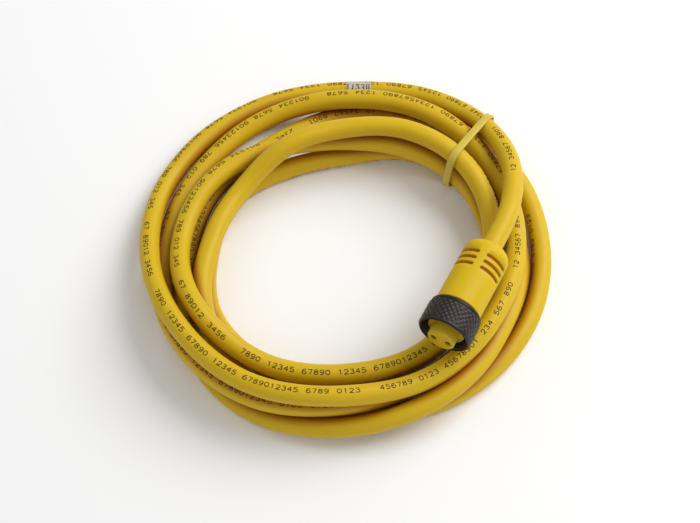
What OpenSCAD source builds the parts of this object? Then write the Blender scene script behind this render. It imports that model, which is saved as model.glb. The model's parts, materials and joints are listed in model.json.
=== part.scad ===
// Power cord set: a moulded two-pole screw connector on a loosely coiled round cord.
// Millimetres, +Z up. The coil lies on z = 0, with the origin in the middle of its box.

/* [Cord] */
// Diameter of the coil, to the middle of the cord in its widest bottom turn
coil_d = 186; // [180:1:200]
// Outer diameter of the cord
cord_d = 9.4; // [9.3:0.1:9.5]
// Bore of the jacket, round the two wires
jacket_bore_d = 5.8; // [5.6:0.1:6]
// Diameter over the insulation of one wire
wire_d = 2.6; // [2.4:0.1:2.8]
// Diameter of a bundle of copper strands
strands_d = 1.5; // [1.3:0.1:1.6]
// Bare length of copper at the free end
bare_length = 7; // [5:1:9]
// Length of the insulated leads at the free end
lead_length = 30; // [20:1:34]

/* [Coupling nut] */
// Outer diameter over the knurl
nut_d = 25.4; // [25:0.1:25.5]
// Length of the nut
nut_length = 13.7; // [13.4:0.1:14.2]
// Wall of the nut outside its thread
nut_wall = 1.6; // [1.5:0.05:1.7]
// Height of the thread
thread_height = 0.775; // [0.7:0.025:0.85]
// Depth of the threaded part
thread_depth = 10.8; // [10.6:0.1:11.2]
// How far the lip that holds the nut catches behind the collar
lip_catch = 1.4; // [1.1:0.05:1.45]

/* [Contact insert] */
// Diameter of the nose
nose_d = 13; // [12.8:0.1:13.4]
// How far the nose stands out of the nut
nose_out = 3.2; // [2.8:0.1:3.6]
// Depth of the flange face inside the nut
flange_depth = 2.6; // [2.2:0.1:3]
// Gap between the thread and the collar that the nut's lip pulls on
collar_gap = 0.525; // [0.4:0.025:0.7]
// Height of the step from the flange up to the collar
flange_step = 1.1; // [0.9:0.05:1.2]
// Distance between the two contacts
pole_pitch = 7; // [6.8:0.1:7.1]
// Bore of a socket contact
socket_bore_d = 3.2; // [3.1:0.05:3.25]

/* [Grip] */
// Diameter of the grip
grip_d = 21.6; // [21.2:0.1:22]
// Length of the grip behind the nut
grip_length = 35; // [34:0.1:36]
// Radius of the round rear shoulder
shoulder_r = 5.5; // [4.5:0.1:6]
// Width of one finger slot
slot_width = 1.3; // [1:0.1:1.6]
// Depth of one finger slot
slot_depth = 1.1; // [0.8:0.1:1.4]
// Distance from one slot to the next
slot_pitch = 3.5; // [3.2:0.1:3.8]

/* [Tie and marker] */
// Width of the tie's strap
tie_width = 3.6; // [2.4:0.1:4.8]
// Thickness of the tie's strap
tie_thickness = 1; // [0.8:0.1:1]
// Length of the marker sleeve
marker_length = 12; // [8:1:14]

/* [Hidden] */
$fn = 64;

// Clearance between pieces that are moulded or pressed together
fit = 0.05;
cord_r = cord_d / 2;
wire_r = wire_d / 2;
strands_r = strands_d / 2;
socket_r = socket_bore_d / 2;

// ---- The nut and what turns in it follow from the nut's diameter
thread_major_d = nut_d - 2 * nut_wall;
thread_minor_d = thread_major_d - 2 * thread_height;
collar_d = thread_minor_d - 2 * collar_gap;
flange_d = collar_d - 2 * flange_step;
lip_bore_d = collar_d - 2 * lip_catch;
nut_play = 0.8;

// ---- The connector's own frame: z = 0 at the nut's front rim, +z towards the cord,
// +x to the right seen from the front, +y down. It moves out with the coil.
drawn_coil_d = 186;
coil_grow = (coil_d - drawn_coil_d) / 2;
nut_front = [42.8, -61.25, 37.5] + coil_grow * [cos(305), sin(305), 0];
connector_turn = 26.9;
cord_direction = [sin(connector_turn), cos(connector_turn), 0];

nose_front = -nose_out;
flange_back = flange_depth + 5;
lip_front = thread_depth + 0.1;
collar_back = lip_front - nut_play;
grip_front = nut_length + 0.5;
grip_back = grip_front + grip_length;
insert_back = grip_front + 1.5;
neck_r = lip_bore_d / 2 - 0.3;
pole_x = pole_pitch / 2;

contact_front = nose_front + 1;
contact_r = socket_r + 0.4;
socket_depth = 12;
barrel_front = contact_front + socket_depth + 2;
barrel_back = insert_back + 3;
wire_x = wire_r + 0.15;
bend_front = barrel_back + 1;
bend_length = 10;
jacket_front = bend_front + bend_length + 1;
wire_sides = 10;
mould_back = jacket_front + 4;
mould_r = 7.4;
mould_back_r = 6.2;

// ---- The coil. Each row is one turn, seen from above and counted anticlockwise from
// +X: at every 30 degrees it gives the radius of the cord's centre line and how far that
// line is lifted off the bottom layer. The radii are drawn for a coil of drawn_coil_d.
coil_centre = [-0.5, 0.25, 0];
coil_lead_in = [60, 34];
coil_turns = [
    [[73.5, 33], [87, 21], [94.7, 4.5], [91.7, 0], [92, 0], [93, 0],
     [91, 10], [90, 20], [89.5, 21], [85.5, 22], [82.8, 16.9], [80, 18.5]],
    [[79.5, 12.5], [81, 10.5], [81.8, 11.5], [80.5, 9.5], [82.5, 3], [82.4, 0],
     [84.5, 1], [90.5, 10], [91, 11], [84.8, 12], [77.8, 5.5], [74, 1]],
    [[70, 3], [65.5, 9], [59, 11], [56, 10.5], [60.5, 10], [70.5, 10.5],
     [76, 11], [78, 19], [74, 12.3], [69, 10.5], [67.5, 10], [64, 10]],
    [[68.5, 13], [67.5, 19.5], [62.8, 21], [56.3, 20.5], [54, 20], [56.5, 10],
     [62, 10.5], [74, 9.3], [81.5, 3], [82, 0], [88.5, 0], [91.5, 0]],
    [[92, 0], [90.5, 2.5], [83.3, 1.5], [77, 0], [69.5, 0], [71.5, 0],
     [74, 0], [84, 0], [92, 0], [92.5, 5], [90.2, 10.2], [83.5, 7.1]],
    [[81.4, 0], [74, 2.5], [64, 1.5], [54, 0], [54, 0], [60.5, 0],
     [63.5, 0], [69.7, 0], [70, 0], [70, 0], [65, 0], [64, 0]]
];
stations_per_turn = 12;
rings_per_turn = 24;
cord_sides = 6;
coil_end = 5 * 360 + 315;
floor_cut = cord_d / 10;
floor_height = cord_r - floor_cut;

coil_rows = [coil_lead_in, for (turn = coil_turns) each turn];

// ---- Route of the cord
function row(i) = coil_rows[max(0, min(len(coil_rows) - 1, i))] + [coil_grow, 0];

// Smooth curve through b and c, with the neighbours a and d
function through(a, b, c, d, t) =
    b + 0.5 * t * (c - a + t * (2 * a - 5 * b + 4 * c - d + t * (3 * (b - c) + d - a)));

function row_at(angle) =
    let (u = angle * stations_per_turn / 360 + 1, i = floor(u))
    through(row(i - 1), row(i), row(i + 1), row(i + 2), u - i);

function on_coil(angle) =
    let (r = row_at(angle))
    coil_centre + [r[0] * cos(angle), r[0] * sin(angle), floor_height + max(0, r[1])];

// The same place on the straight run between two rings
function on_ring_chord(angle) =
    let (step = 360 / rings_per_turn, i = floor(angle / step), t = angle / step - i)
    on_coil(i * step) * (1 - t) + on_coil((i + 1) * step) * t;

grip_exit = nut_front + cord_direction * grip_back;
straight_end = grip_exit + cord_direction * cord_d;
route = [
    grip_exit,
    straight_end,
    for (angle = [0 : 360 / rings_per_turn : coil_end]) on_coil(angle)
];

// ---- Sweeping
function unit(v) = v / norm(v);

function heading(path, i) =
    i == 0 ? unit(path[1] - path[0])
    : i == len(path) - 1 ? unit(path[i] - path[i - 1])
    : unit(unit(path[i + 1] - path[i]) + unit(path[i] - path[i - 1]));

// One ring of the tube, with its first corner straight below the path when up is +Z
function ring_points(path, i, r, sides, up) =
    let (
        ahead = heading(path, i),
        across = unit(cross(ahead, up)),
        over = cross(across, ahead)
    )
    [for (k = [0 : sides - 1])
        let (a = k * 360 / sides - 90)
        path[i] + r * (cos(a) * across + sin(a) * over)];

module sweep(path, r, sides, up) {
    last = (len(path) - 1) * sides;
    polyhedron(
        points = [for (i = [0 : len(path) - 1]) each ring_points(path, i, r, sides, up)],
        faces = [
            for (i = [0 : len(path) - 2], k = [0 : sides - 1])
                let (a = i * sides + k, b = i * sides + (k + 1) % sides)
                each [[a, b, b + sides], [a, b + sides, a + sides]],
            for (k = [1 : sides - 2]) [0, k + 1, k],
            for (k = [1 : sides - 2]) [last, last + k, last + k + 1]
        ],
        convexity = 10
    );
}

// ---- Least gap of the cord to itself, on points along its straight runs
points_per_run = 4;
run_points = [
    for (i = [0 : len(route) - 2], k = [0 : points_per_run - 1])
        route[i] + (route[i + 1] - route[i]) * k / points_per_run
];
half_turn = points_per_run * rings_per_turn / 2;

function least_gap() =
    min([for (i = [0 : len(run_points) - half_turn - 1])
        min([for (k = [i + half_turn : len(run_points) - 1])
            norm(run_points[i] - run_points[k])])]) - cord_d;

function route_length() =
    let (runs = [for (i = [1 : len(route) - 1]) norm(route[i] - route[i - 1])])
    runs * [for (run = runs) 1];

// ---- Placing
module at_connector() {
    translate(nut_front)
        rotate([-90, 0, -connector_turn])
            children();
}

// A rod from p to q
module rod(p, q, r) {
    d = q - p;
    translate(p)
        rotate([0, acos(d[2] / norm(d)), atan2(d[1], d[0])])
            cylinder(h = norm(d), r = r);
}

// The way of one wire inside the grip: straight out of its contact, in an S towards the
// other wire, then straight into the jacket
module wire_way(side, front, back, r) {
    points = [
        [side * pole_x, 0, front],
        for (t = [0 : 1 / 6 : 1.01])
            let (x = pole_x - (pole_x - wire_x) * (1 - cos(180 * t)) / 2)
            [side * x, 0, bend_front + t * bend_length],
        [side * wire_x, 0, back]
    ];
    sweep(points, r, wire_sides, [0, 1, 0]);
}

// ---- Connector
module grip_outline() {
    back_r = grip_d / 2 - shoulder_r;
    polygon([
        [0, grip_front],
        [grip_d / 2 - 0.4, grip_front],
        [grip_d / 2, grip_front + 0.4],
        for (a = [0 : 10 : 90])
            [back_r + shoulder_r * cos(a), grip_back - shoulder_r + shoulder_r * sin(a)],
        [0, grip_back]
    ]);
}

module finger_slots() {
    for (group = [45 : 90 : 315], i = [0 : 2])
        rotate([0, 0, group - 27])
            translate([0, 0, grip_back - 9.1 - i * slot_pitch])
                rotate_extrude(angle = 54)
                    translate([grip_d / 2 - slot_depth, -slot_width / 2])
                        square([slot_depth + 1, slot_width]);
}

module grip() {
    color("gold")
        at_connector()
            difference() {
                rotate_extrude()
                    grip_outline();
                finger_slots();
                translate([0, 0, grip_front - 1])
                    cylinder(h = insert_back + fit - grip_front + 1, r = neck_r + fit);
                inner_mould_body(fit);
                translate([0, 0, jacket_front])
                    cylinder(h = grip_back, r = cord_r + fit);
            }
}

module inner_mould_body(extra) {
    translate([0, 0, insert_back + fit])
        cylinder(h = 9, r = mould_r + extra);
    translate([0, 0, insert_back + fit + 9])
        cylinder(
            h = mould_back - insert_back - 9 + extra,
            r1 = mould_r + extra,
            r2 = mould_back_r + extra
        );
}

module inner_mould() {
    color("khaki")
        at_connector()
            difference() {
                inner_mould_body(0);
                for (side = [-1, 1]) {
                    translate([side * pole_x, 0, insert_back])
                        cylinder(h = barrel_back - insert_back + fit, r = contact_r + fit);
                    wire_way(side, barrel_back, jacket_front + 1, wire_r + fit);
                }
                translate([0, 0, jacket_front - fit])
                    cylinder(h = grip_length, r = cord_r + fit);
            }
}

module insert_outline() {
    polygon([
        [0, nose_front],
        [nose_d / 2 - 0.6, nose_front],
        [nose_d / 2, nose_front + 0.6],
        [nose_d / 2, flange_depth],
        [flange_d / 2 - 0.4, flange_depth],
        [flange_d / 2, flange_depth + 0.4],
        [flange_d / 2, flange_back],
        [collar_d / 2, flange_back],
        [collar_d / 2, collar_back],
        [neck_r, collar_back],
        [neck_r, insert_back],
        [0, insert_back]
    ]);
}

module contact_insert() {
    color("darkkhaki")
        at_connector()
            difference() {
                rotate_extrude()
                    insert_outline();
                for (side = [-1, 1])
                    translate([side * pole_x, 0, 0]) {
                        translate([0, 0, nose_front - 1])
                            cylinder(h = 3, r = socket_r);
                        translate([0, 0, contact_front - fit])
                            cylinder(h = insert_back - contact_front + 1, r = contact_r + fit);
                    }
                // Keyway on the left edge of the nose
                translate([-nose_d / 2 - 1.25, -1, nose_front - 1])
                    cube([2, 2, flange_depth - nose_front + 1]);
            }
}

module nut_outline() {
    edge_r = nut_d / 2 - 0.5;
    polygon([
        [thread_major_d / 2, 0],
        [nut_d / 2 - 0.8, 0],
        [nut_d / 2, 0.8],
        [nut_d / 2, nut_length - 2.2],
        [edge_r, nut_length - 1.8],
        [edge_r, nut_length - 0.8],
        [edge_r - 0.8, nut_length],
        [lip_bore_d / 2 + 0.4, nut_length],
        [lip_bore_d / 2, nut_length - 0.4],
        [lip_bore_d / 2, lip_front],
        [thread_minor_d / 2, lip_front],
        [thread_minor_d / 2, (thread_major_d - thread_minor_d) / 2]
    ]);
}

module coupling_nut() {
    color("dimgray")
        at_connector()
            rotate_extrude()
                nut_outline();
}

module socket_contact(side) {
    color("goldenrod")
        at_connector()
            translate([side * pole_x, 0, 0])
                difference() {
                    translate([0, 0, contact_front])
                        cylinder(h = barrel_back - contact_front, r = contact_r);
                    translate([0, 0, contact_front - 1])
                        cylinder(h = socket_depth + 1, r = socket_r);
                    translate([0, 0, barrel_front])
                        cylinder(h = barrel_back, r = strands_r + fit);
                }
}

module socket_contact_left() { socket_contact(-1); }

module socket_contact_right() { socket_contact(1); }

// ---- Inside the grip
module wire(side) {
    at_connector()
        difference() {
            wire_way(side, barrel_back + fit, grip_back, wire_r);
            wire_way(side, barrel_back - 1, grip_back + 1, strands_r + fit);
        }
}

module black_wire() { color("black") wire(-1); }

module white_wire() { color("white") wire(1); }

module wire_strands(side) {
    color("peru")
        at_connector()
            wire_way(side, barrel_front + fit, grip_back, strands_r);
}

module black_wire_strands() { wire_strands(-1); }

module white_wire_strands() { wire_strands(1); }

module jacket_in_grip() {
    color("gold")
        at_connector()
            translate([0, 0, jacket_front])
                difference() {
                    cylinder(h = grip_back - jacket_front, r = cord_r);
                    translate([0, 0, -1])
                        cylinder(h = grip_back, r = jacket_bore_d / 2);
                }
}

// The space that the two wires leave in the jacket, above or below them
module filler(side) {
    color("tan")
        at_connector()
            translate([0, 0, jacket_front])
                linear_extrude(height = grip_back - jacket_front)
                    difference() {
                        circle(r = jacket_bore_d / 2 - fit);
                        for (x = [-wire_x, wire_x])
                            translate([x, 0])
                                circle(r = wire_r + fit);
                        translate([-cord_d, side > 0 ? -cord_d : -fit])
                            square([2 * cord_d, cord_d + fit]);
                    }
}

module filler_upper() { filler(-1); }

module filler_lower() { filler(1); }

// ---- Coil and what is on it
module above_floor() {
    difference() {
        children();
        translate([-20 * cord_d, -20 * cord_d, -2 * cord_d])
            cube([40 * cord_d, 40 * cord_d, 2 * cord_d]);
    }
}

module cord_coil() {
    echo(cord_length_mm = route_length(), least_gap_mm = least_gap());
    color("gold")
        above_floor()
            sweep(route, cord_r, cord_sides, [0, 0, 1]);
}

marker_from = on_coil(75);
marker_to = on_coil(90);
marker_heading = unit(marker_to - marker_from);
marker_end = marker_to - marker_heading;

module marker_sleeve() {
    color("gainsboro")
        above_floor()
            difference() {
                rod(marker_end - marker_heading * marker_length, marker_end, cord_r + 0.4);
                rod(marker_from, marker_to, cord_r + 2 * fit);
            }
}

// The tie was pulled tight askew: its upright plane passes beside the coil's centre
tie_heading = 57.4;
tie_offset = 22.5;
tie_gap = 0.3;

// Where a turn crosses the tie's plane, or one moved aside: how far out, how high,
// and how much longer than round the slanting strand's section is there
function crossing(turn, aside = 0, angle = 42, tries = 4) =
    let (
        p = on_ring_chord(360 * turn + angle) - coil_centre,
        radius = norm([p[0], p[1]]),
        slant = asin((tie_offset + aside) / radius)
    )
    tries == 0
        ? [radius * cos(slant), p[2], 1 / cos(slant)]
        : crossing(turn, aside, tie_heading - slant, tries - 1);

// The strands slant through the strap, so both of its edges are counted
module round_the_strands(extra) {
    hull()
        for (turn = [0 : 5], edge = [-0.5, 0.5]) {
            place = crossing(turn, edge * tie_width);
            translate([place[0], place[1]])
                scale([place[2], 1])
                    circle(r = cord_r + extra, $fn = 32);
        }
}

// The head sits low on the outer side of the bundle, square to the strap
module tie_head() {
    outer = crossing(0);
    under = crossing(4);
    lean = atan2(outer[0] - under[0], outer[1] - under[1]);
    translate([under[0] + (outer[0] - under[0]) / 3, under[1] + (outer[1] - under[1]) / 3])
        rotate(-lean)
            translate([cord_r + tie_gap + 0.3, -2.4])
                difference() {
                    square([4, 4.8]);
                    translate([tie_thickness, 1.6])
                        square([1.2, 4]);
                }
}

module cable_tie() {
    color("lemonchiffon")
        above_floor()
            translate(coil_centre)
                rotate([90, 0, tie_heading])
                    translate([0, 0, tie_offset]) {
                        linear_extrude(height = tie_width, center = true)
                            difference() {
                                round_the_strands(tie_gap + tie_thickness);
                                round_the_strands(tie_gap);
                            }
                        linear_extrude(height = tie_width + 1.6, center = true)
                            difference() {
                                tie_head();
                                round_the_strands(tie_gap);
                            }
                    }
}

// ---- Free end: two leads lie on the floor and curve in a little more than the coil
lead_bend = 42;
end_point = on_coil(coil_end);
end_heading = unit(end_point - on_coil(coil_end - 360 / rings_per_turn));
lead_sweep = lead_length / lead_bend * 180 / PI;
bare_sweep = bare_length / lead_bend * 180 / PI;

module lead(side, from, sweep_angle, r) {
    translate(end_point + fit * end_heading)
        rotate([0, 0, atan2(end_heading[1], end_heading[0])])
            translate([0, lead_bend, 0])
                rotate([0, 0, from - 90])
                    rotate_extrude(angle = sweep_angle)
                        translate([lead_bend + side * wire_x, 0])
                            circle(r = r);
}

module black_lead() { color("black") lead(-1, 0, lead_sweep, wire_r); }

module white_lead() { color("white") lead(1, 0, lead_sweep, wire_r); }

module black_lead_strands() { color("peru") lead(-1, lead_sweep, bare_sweep, strands_r); }

module white_lead_strands() { color("peru") lead(1, lead_sweep, bare_sweep, strands_r); }

grip();
inner_mould();
contact_insert();
coupling_nut();
socket_contact_left();
socket_contact_right();
black_wire();
white_wire();
black_wire_strands();
white_wire_strands();
jacket_in_grip();
filler_upper();
filler_lower();
cord_coil();
marker_sleeve();
cable_tie();
black_lead();
white_lead();
black_lead_strands();
white_lead_strands();
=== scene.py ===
"""A loosely coiled power cord with a moulded screw connector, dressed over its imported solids."""

import bisect
import json
import math

import bmesh
import bpy
from mathutils import Matrix, Vector, kdtree


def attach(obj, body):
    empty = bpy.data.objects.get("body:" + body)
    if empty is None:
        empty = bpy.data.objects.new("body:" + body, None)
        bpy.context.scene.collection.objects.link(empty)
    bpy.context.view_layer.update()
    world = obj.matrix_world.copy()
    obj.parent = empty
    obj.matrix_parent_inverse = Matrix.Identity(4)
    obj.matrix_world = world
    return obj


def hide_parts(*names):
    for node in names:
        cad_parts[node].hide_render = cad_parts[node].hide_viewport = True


bl_info = {
    "name": "Coiled Power Cord",
    "version": (1, 0, 0),
    "blender": (4, 5, 0),
    "location": "View3D > Sidebar > Cord",
    "description": "Builds a loosely coiled power cord with its screw connector, tie and marker",
    "category": "Add Mesh",
}

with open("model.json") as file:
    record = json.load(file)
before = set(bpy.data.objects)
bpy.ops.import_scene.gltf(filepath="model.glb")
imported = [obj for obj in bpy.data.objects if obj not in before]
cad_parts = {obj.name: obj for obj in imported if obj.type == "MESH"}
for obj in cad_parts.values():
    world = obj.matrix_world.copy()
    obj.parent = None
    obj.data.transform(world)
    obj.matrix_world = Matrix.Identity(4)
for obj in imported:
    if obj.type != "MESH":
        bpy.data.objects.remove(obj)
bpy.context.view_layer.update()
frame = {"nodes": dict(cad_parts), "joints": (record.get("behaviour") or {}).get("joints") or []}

MM = 0.001
UP = Vector((0, 0, 1))
CORD_BODY = "cord_set"
NUT_BODY = "coupling_nut"
NUT_JOINT = next(joint for joint in frame["joints"] if joint["name"] == "nut_turn")
NUT_FRONT = Vector(NUT_JOINT["pos_m"])
CORD_DIRECTION = Vector(NUT_JOINT["axis"]).normalized()

# The connector's frame: z runs from the nut's front rim towards the cord, x to the right
# seen from the front, y down.
CONNECTOR_PLACE = Matrix.Translation(NUT_FRONT) @ Matrix(
    (
        (CORD_DIRECTION.y, 0, CORD_DIRECTION.x, 0),
        (-CORD_DIRECTION.x, 0, CORD_DIRECTION.y, 0),
        (0, -1, 0, 0),
        (0, 0, 0, 1),
    )
)

# ---- The route of the cord, in millimetres. Each row is one turn: at every 30 degrees it
# gives the radius of the centre line and how far it is lifted off the bottom layer.
CORD_D = 9.4
FLOOR_HEIGHT = 0.4 * CORD_D
GRIP_FRONT = 14.2
GRIP_BACK = 49.2
NOSE_FRONT = -3.2
COIL_CENTRE = Vector((-0.5, 0.25, 0))
COIL_LEAD_IN = (60, 34)
COIL_TURNS = (
    ((73.5, 33), (87, 21), (94.7, 4.5), (91.7, 0), (92, 0), (93, 0),
     (91, 10), (90, 20), (89.5, 21), (85.5, 22), (82.8, 16.9), (80, 18.5)),
    ((79.5, 12.5), (81, 10.5), (81.8, 11.5), (80.5, 9.5), (82.5, 3), (82.4, 0),
     (84.5, 1), (90.5, 10), (91, 11), (84.8, 12), (77.8, 5.5), (74, 1)),
    ((70, 3), (65.5, 9), (59, 11), (56, 10.5), (60.5, 10), (70.5, 10.5),
     (76, 11), (78, 19), (74, 12.3), (69, 10.5), (67.5, 10), (64, 10)),
    ((68.5, 13), (67.5, 19.5), (62.8, 21), (56.3, 20.5), (54, 20), (56.5, 10),
     (62, 10.5), (74, 9.3), (81.5, 3), (82, 0), (88.5, 0), (91.5, 0)),
    ((92, 0), (90.5, 2.5), (83.3, 1.5), (77, 0), (69.5, 0), (71.5, 0),
     (74, 0), (84, 0), (92, 0), (92.5, 5), (90.2, 10.2), (83.5, 7.1)),
    ((81.4, 0), (74, 2.5), (64, 1.5), (54, 0), (54, 0), (60.5, 0),
     (63.5, 0), (69.7, 0), (70, 0), (70, 0), (65, 0), (64, 0)),
)
STATIONS_PER_TURN = 12
COIL_START = 12
COIL_END = 5 * 360 + 315
ROUTE_STEP = 3
STRAIGHT_POINTS = 5
BEND_POINTS = 6

# ---- What lies on the cord
MARKER_FROM, MARKER_TO = 75, 90
MARKER_LENGTH = 12
TIE_HEADING = math.radians(57.4)
TIE_OFFSET = 22.5
TIE_GAP = 0.3
WIRE_R = 1.3
WIRE_X = 1.45
STRANDS_R = 0.75
LEAD_BEND = 42
LEAD_LENGTH = 30
BARE_LENGTH = 7
COIL_ROWS = [COIL_LEAD_IN] + [row for turn in COIL_TURNS for row in turn]


def row(i):
    return COIL_ROWS[max(0, min(len(COIL_ROWS) - 1, i))]


def through(a, b, c, d, t):
    """Smooth curve through b and c, with the neighbours a and d."""
    return b + 0.5 * t * (c - a + t * (2 * a - 5 * b + 4 * c - d + t * (3 * (b - c) + d - a)))


def on_coil(angle):
    """The centre line at an angle counted on through all turns, in millimetres."""
    place = angle * STATIONS_PER_TURN / 360 + 1
    i = math.floor(place)
    rows = [row(i + k) for k in (-1, 0, 1, 2)]
    radius, lift = (through(*[r[k] for r in rows], place - i) for k in (0, 1))
    turned = math.radians(angle)
    flat = Vector((radius * math.cos(turned), radius * math.sin(turned), 0))
    return COIL_CENTRE + flat + UP * (FLOOR_HEIGHT + max(0, lift))


def ring_chord(angle, step=15):
    """The centre line as the solids draw it, straight from ring to ring."""
    first = math.floor(angle / step) * step
    return on_coil(first).lerp(on_coil(first + step), (angle - first) / step)


def cord_route(step=ROUTE_STEP):
    """The centre line in metres: straight out of the grip, then round the coil."""
    leave = NUT_FRONT + CORD_DIRECTION * GRIP_BACK * MM
    gaps = STRAIGHT_POINTS - 1
    straight = [
        leave + CORD_DIRECTION * CORD_D * MM * k / gaps for k in range(STRAIGHT_POINTS)
    ]
    # The lead-in bends from the straight run into the first turn
    first = on_coil(COIL_START) * MM
    ahead = (on_coil(COIL_START + 1) - on_coil(COIL_START - 1)).normalized()
    reach = (first - straight[-1]).length
    gaps = BEND_POINTS + 1
    bend = [
        hermite(straight[-1], CORD_DIRECTION * reach, first, ahead * reach, k / gaps)
        for k in range(1, gaps)
    ]
    turns = [on_coil(a) * MM for a in range(COIL_START, COIL_END + 1, step)]
    return straight + bend + turns


def run_lengths(path):
    """How far along a path each of its points lies."""
    runs = [0.0]
    for a, b in zip(path, path[1:]):
        runs.append(runs[-1] + (b - a).length)
    return runs


def hermite(p, leaving, q, arriving, t):
    """Smooth curve from p to q with the given ways out of one and into the other."""
    return (
        p * (2 * t**3 - 3 * t**2 + 1)
        + leaving * (t**3 - 2 * t**2 + t)
        + q * (-2 * t**3 + 3 * t**2)
        + arriving * (t**3 - t**2)
    )


# ---- Meshes
def finished(name, mesh, finish, body=CORD_BODY, sharp=None):
    """Links a mesh as a piece that rides on a body. Edges past an angle stay sharp."""
    piece = bpy.data.objects.new(name, mesh)
    bpy.context.scene.collection.objects.link(piece)
    mesh.materials.clear()
    mesh.materials.append(Materials.get(finish))
    for face in mesh.polygons:
        face.use_smooth = True
    if sharp is not None:
        mesh.set_sharp_from_angle(angle=math.radians(sharp))
    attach(piece, body)
    return piece


def from_lists(name, vertices, faces):
    mesh = bpy.data.meshes.new(name)
    mesh.from_pydata([tuple(v) for v in vertices], [], faces)
    mesh.validate()
    tidy = bmesh.new()
    tidy.from_mesh(mesh)
    bmesh.ops.remove_doubles(tidy, verts=tidy.verts, dist=1e-7)
    bmesh.ops.recalc_face_normals(tidy, faces=tidy.faces)
    tidy.to_mesh(mesh)
    tidy.free()
    return mesh


def grid_faces(rows, columns, close_rows, close_columns):
    """Quads between the rows of a grid of points, closed on itself where asked."""
    faces = []
    for i in range(rows if close_rows else rows - 1):
        for j in range(columns if close_columns else columns - 1):
            a, b = i * columns, (i + 1) % rows * columns
            k = (j + 1) % columns
            faces.append((a + j, a + k, b + k, b + j))
    return faces


def turned(name, outline, columns, closed):
    """A turned shape in the connector's frame. The outline gives (radius, z) pairs in
    millimetres; a radius may be a function of the angle round the axis."""
    vertices = []
    for radius, z in outline:
        for j in range(columns):
            angle = 2 * math.pi * j / columns
            r = radius(angle) if callable(radius) else radius
            vertices.append((r * math.cos(angle) * MM, r * math.sin(angle) * MM, z * MM))
    mesh = from_lists(name, vertices, grid_faces(len(outline), columns, closed, True))
    mesh.transform(CONNECTOR_PLACE)
    return mesh


def keep_on_points(mesh, name, value):
    """Keeps a value from 0 to 1 at each point, worked out from its radius and z."""
    data = mesh.attributes.new(name, "FLOAT", "POINT").data
    back = CONNECTOR_PLACE.inverted()
    for i, vertex in enumerate(mesh.vertices):
        place = back @ vertex.co / MM
        data[i].value = max(0, min(1, value(math.hypot(place.x, place.y), place.z)))


def frames_along(path):
    """For each point of a path: the point, the side and the upper side."""
    out = []
    for i, point in enumerate(path):
        ahead = (path[min(i + 1, len(path) - 1)] - path[max(i - 1, 0)]).normalized()
        side = ahead.cross(UP).normalized()
        out.append((point, side, side.cross(ahead)))
    return out


def swept(name, path, outline):
    """Sweeps a closed outline of (side, over) pairs, in metres, along a path."""
    vertices = [
        point + side * a + over * b
        for point, side, over in frames_along(path)
        for a, b in outline
    ]
    count, last = len(outline), (len(path) - 1) * len(outline)
    faces = grid_faces(len(path), count, False, True)
    faces += [tuple(range(count)), tuple(range(last, last + count))]
    return from_lists(name, vertices, faces)


def evenly(outline, step):
    """Points about a step apart round a closed outline."""
    ring = outline + outline[:1]
    whole = sum(math.dist(a, b) for a, b in zip(ring, ring[1:]))
    count = round(whole / step / 2) * 2
    out, passed, wanted = [], 0, 0
    for a, b in zip(ring, ring[1:]):
        run = math.dist(a, b)
        while len(out) < count and wanted <= passed + run:
            t = (wanted - passed) / run
            out.append((a[0] + (b[0] - a[0]) * t, a[1] + (b[1] - a[1]) * t))
            wanted += whole / count
        passed += run
    return out


def circle(radius, count):
    angles = (2 * math.pi * k / count for k in range(count))
    return [(radius * math.cos(a), radius * math.sin(a)) for a in angles]


def fillet(middle, radius, first, last, steps=5):
    """Points of an arc between two angles in degrees."""
    return [
        (middle[0] + radius * math.cos(a), middle[1] + radius * math.sin(a))
        for a in (math.radians(first + (last - first) * k / steps) for k in range(steps + 1))
    ]


def around_hull(points):
    """The points of a convex outline round others, counterclockwise."""
    points = sorted(set(points))
    halves = []
    for run in (points, points[::-1]):
        half = []
        for p in run:
            while len(half) > 1 and cross(half[-2], half[-1], p) <= 0:
                half.pop()
            half.append(p)
        halves.append(half[:-1])
    return halves[0] + halves[1]


def cross(o, a, b):
    return (a[0] - o[0]) * (b[1] - o[1]) - (a[1] - o[1]) * (b[0] - o[0])


def joined(name, meshes):
    """One mesh of several."""
    whole = bmesh.new()
    for mesh in meshes:
        whole.from_mesh(mesh)
    out = bpy.data.meshes.new(name)
    whole.to_mesh(out)
    whole.free()
    return out


def cut(mesh, cutter):
    """Cuts one closed mesh out of another."""
    piece = bpy.data.objects.new(mesh.name, mesh)
    tool = bpy.data.objects.new("cutter", cutter)
    for made in (piece, tool):
        bpy.context.scene.collection.objects.link(made)
    modifier = piece.modifiers.new("Cut", "BOOLEAN")
    modifier.object = tool
    modifier.solver = "EXACT"
    apply_modifiers(piece)
    remains = piece.data
    bpy.data.objects.remove(piece)
    bpy.data.objects.remove(tool)
    return remains


def soft_box(size, bevel):
    """A box with rounded edges, its middle at the origin, in metres."""
    shape = bmesh.new()
    bmesh.ops.create_cube(shape, size=1)
    bmesh.ops.scale(shape, vec=Vector(size), verts=shape.verts)
    bmesh.ops.bevel(
        shape, geom=list(shape.edges), offset=bevel, segments=3, affect="EDGES", profile=0.5
    )
    mesh = bpy.data.meshes.new("box")
    shape.to_mesh(mesh)
    shape.free()
    return mesh


def apply_modifiers(piece):
    """Turns what the modifiers make into the piece's own plain mesh."""
    graph = bpy.context.evaluated_depsgraph_get()
    mesh = bpy.data.meshes.new_from_object(piece.evaluated_get(graph))
    piece.modifiers.clear()
    piece.data = mesh


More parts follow.
